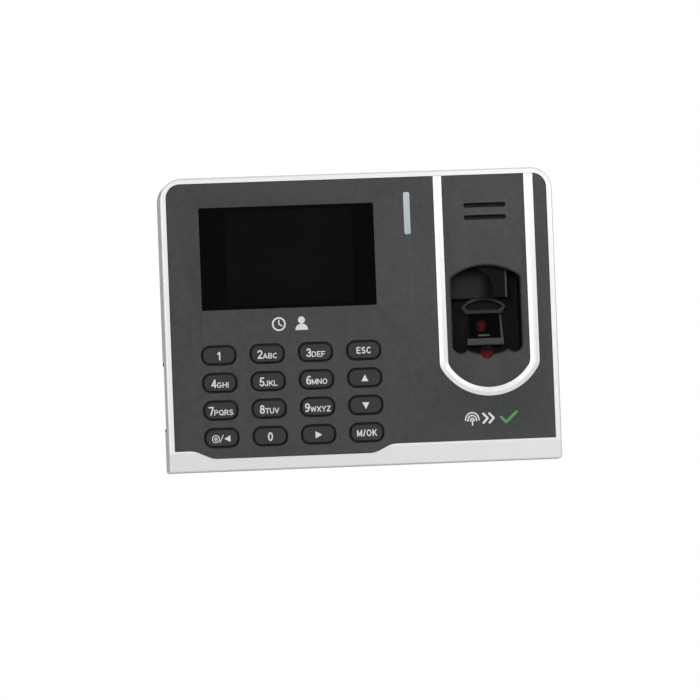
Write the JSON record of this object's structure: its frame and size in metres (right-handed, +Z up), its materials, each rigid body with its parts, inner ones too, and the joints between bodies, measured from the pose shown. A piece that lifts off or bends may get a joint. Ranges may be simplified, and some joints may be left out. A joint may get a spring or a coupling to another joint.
{
  "type": "fingerprint scanner terminal",
  "caption": "Wall-mounted fingerprint terminal: silver frame, dark panel with display window, sprung keypad, light bar, sound slots and finger well in a U trim.",
  "frame": {"origin": "on the wall plane, at the centre of the wall bracket's four screw holes", "axes": "+X to the right seen from the front, +Y out of the back into the wall, +Z up"},
  "size_m": [0.1826, 0.036, 0.1352],
  "materials": {
    "silver_paint": "satin silver paint on moulded ABS",
    "dark_panel": "fine textured dark grey plastic",
    "dark_shell": "spark textured dark grey plastic",
    "display_window": "gloss black printed acrylic",
    "light_pipe": "frosted pale blue acrylic",
    "circuit_board": "green solder mask",
    "silicone": "matte silicone rubber",
    "flat_cable": "white polyester film",
    "foam": "open cell foam",
    "display_glass": "polished",
    "thin_steel": "stamped, bright",
    "well_plastic": "satin black plastic",
    "stop_plastic": "satin dark grey plastic",
    "sensor_grey": "satin grey plastic",
    "prism_glass": "polished optical glass",
    "red_lens": "clear red plastic",
    "black_plastic": "matte",
    "lens_glass": "lens barrel",
    "speaker_paper": "pressed paper",
    "wire_jacket": "PVC jacket",
    "connector_plastic": "nylon",
    "button_plastic": "satin black plastic",
    "screw_steel": "zinc plated",
    "bracket_steel": "zinc plated sheet",
    "key_rubber": "matte dark grey, white legends"
  },
  "bodies": {
    "housing": {"front_frame": "silver_paint", "sensor_trim": "silver_paint", "front_panel": "dark_panel", "rear_cover": "dark_shell", "port_bay": "dark_shell", "lcd_window": "display_window", "status_light_pipe": "light_pipe", "status_led_board": "circuit_board", "keypad_mat": "silicone", "keypad_board": "circuit_board", "keypad_flex": "flat_cable", "lcd_gasket": "foam", "lcd_glass": "display_glass", "lcd_frame": "thin_steel", "lcd_flex": "flat_cable", "finger_recess": "well_plastic", "finger_guide": "well_plastic", "finger_stop": "stop_plastic", "sensor_bezel": "sensor_grey", "sensor_prism": "prism_glass", "sensor_light_guide": "red_lens", "sensor_housing": "black_plastic", "sensor_lens": "lens_glass", "sensor_board": "circuit_board", "sensor_cable": "flat_cable", "speaker": "thin_steel", "speaker_cone": "speaker_paper", "speaker_gasket": "foam", "speaker_lead": "wire_jacket", "light_lead": "wire_jacket", "main_board": "circuit_board", "board_chips": "black_plastic", "board_connectors": "connector_plastic", "coin_cell_holder": "black_plastic", "coin_cell": "thin_steel", "usb_port": "thin_steel", "dc_jack": "black_plastic", "reset_switch": "black_plastic", "case_screws": "screw_steel", "board_screws": "screw_steel", "wall_bracket": "bracket_steel", "bracket_screw": "screw_steel"},
    "key_1": {"key_1": "key_rubber"},
    "key_2": {"key_2": "key_rubber"},
    "key_3": {"key_3": "key_rubber"},
    "key_escape": {"key_escape": "key_rubber"},
    "key_4": {"key_4": "key_rubber"},
    "key_5": {"key_5": "key_rubber"},
    "key_6": {"key_6": "key_rubber"},
    "key_up": {"key_up": "key_rubber"},
    "key_7": {"key_7": "key_rubber"},
    "key_8": {"key_8": "key_rubber"},
    "key_9": {"key_9": "key_rubber"},
    "key_down": {"key_down": "key_rubber"},
    "key_left": {"key_left": "key_rubber"},
    "key_0": {"key_0": "key_rubber"},
    "key_right": {"key_right": "key_rubber"},
    "key_ok": {"key_ok": "key_rubber"},
    "reset_button": {"reset_button": "button_plastic"}
  },
  "joints": [
    {"name": "key_1_press", "type": "slide", "parent": "housing", "child": "key_1", "axis": [0, 1, 0], "range_m": [0, 0.0009], "stiffness_N_per_m": 900, "springref_m": -0.0004, "deforming": ["keypad_mat"]},
    {"name": "key_2_press", "type": "slide", "parent": "housing", "child": "key_2", "axis": [0, 1, 0], "range_m": [0, 0.0009], "stiffness_N_per_m": 900, "springref_m": -0.0004, "deforming": ["keypad_mat"]},
    {"name": "key_3_press", "type": "slide", "parent": "housing", "child": "key_3", "axis": [0, 1, 0], "range_m": [0, 0.0009], "stiffness_N_per_m": 900, "springref_m": -0.0004, "deforming": ["keypad_mat"]},
    {"name": "key_escape_press", "type": "slide", "parent": "housing", "child": "key_escape", "axis": [0, 1, 0], "range_m": [0, 0.0009], "stiffness_N_per_m": 900, "springref_m": -0.0004, "deforming": ["keypad_mat"]},
    {"name": "key_4_press", "type": "slide", "parent": "housing", "child": "key_4", "axis": [0, 1, 0], "range_m": [0, 0.0009], "stiffness_N_per_m": 900, "springref_m": -0.0004, "deforming": ["keypad_mat"]},
    {"name": "key_5_press", "type": "slide", "parent": "housing", "child": "key_5", "axis": [0, 1, 0], "range_m": [0, 0.0009], "stiffness_N_per_m": 900, "springref_m": -0.0004, "deforming": ["keypad_mat"]},
    {"name": "key_6_press", "type": "slide", "parent": "housing", "child": "key_6", "axis": [0, 1, 0], "range_m": [0, 0.0009], "stiffness_N_per_m": 900, "springref_m": -0.0004, "deforming": ["keypad_mat"]},
    {"name": "key_up_press", "type": "slide", "parent": "housing", "child": "key_up", "axis": [0, 1, 0], "range_m": [0, 0.0009], "stiffness_N_per_m": 900, "springref_m": -0.0004, "deforming": ["keypad_mat"]},
    {"name": "key_7_press", "type": "slide", "parent": "housing", "child": "key_7", "axis": [0, 1, 0], "range_m": [0, 0.0009], "stiffness_N_per_m": 900, "springref_m": -0.0004, "deforming": ["keypad_mat"]},
    {"name": "key_8_press", "type": "slide", "parent": "housing", "child": "key_8", "axis": [0, 1, 0], "range_m": [0, 0.0009], "stiffness_N_per_m": 900, "springref_m": -0.0004, "deforming": ["keypad_mat"]},
    {"name": "key_9_press", "type": "slide", "parent": "housing", "child": "key_9", "axis": [0, 1, 0], "range_m": [0, 0.0009], "stiffness_N_per_m": 900, "springref_m": -0.0004, "deforming": ["keypad_mat"]},
    {"name": "key_down_press", "type": "slide", "parent": "housing", "child": "key_down", "axis": [0, 1, 0], "range_m": [0, 0.0009], "stiffness_N_per_m": 900, "springref_m": -0.0004, "deforming": ["keypad_mat"]},
    {"name": "key_left_press", "type": "slide", "parent": "housing", "child": "key_left", "axis": [0, 1, 0], "range_m": [0, 0.0009], "stiffness_N_per_m": 900, "springref_m": -0.0004, "deforming": ["keypad_mat"]},
    {"name": "key_0_press", "type": "slide", "parent": "housing", "child": "key_0", "axis": [0, 1, 0], "range_m": [0, 0.0009], "stiffness_N_per_m": 900, "springref_m": -0.0004, "deforming": ["keypad_mat"]},
    {"name": "key_right_press", "type": "slide", "parent": "housing", "child": "key_right", "axis": [0, 1, 0], "range_m": [0, 0.0009], "stiffness_N_per_m": 900, "springref_m": -0.0004, "deforming": ["keypad_mat"]},
    {"name": "key_ok_press", "type": "slide", "parent": "housing", "child": "key_ok", "axis": [0, 1, 0], "range_m": [0, 0.0009], "stiffness_N_per_m": 900, "springref_m": -0.0004, "deforming": ["keypad_mat"]},
    {"name": "reset_button_press", "type": "slide", "parent": "housing", "child": "reset_button", "axis": [1, 0, 0], "range_m": [0, 0.0005], "stiffness_N_per_m": 1500, "springref_m": -0.0003}
  ]
}
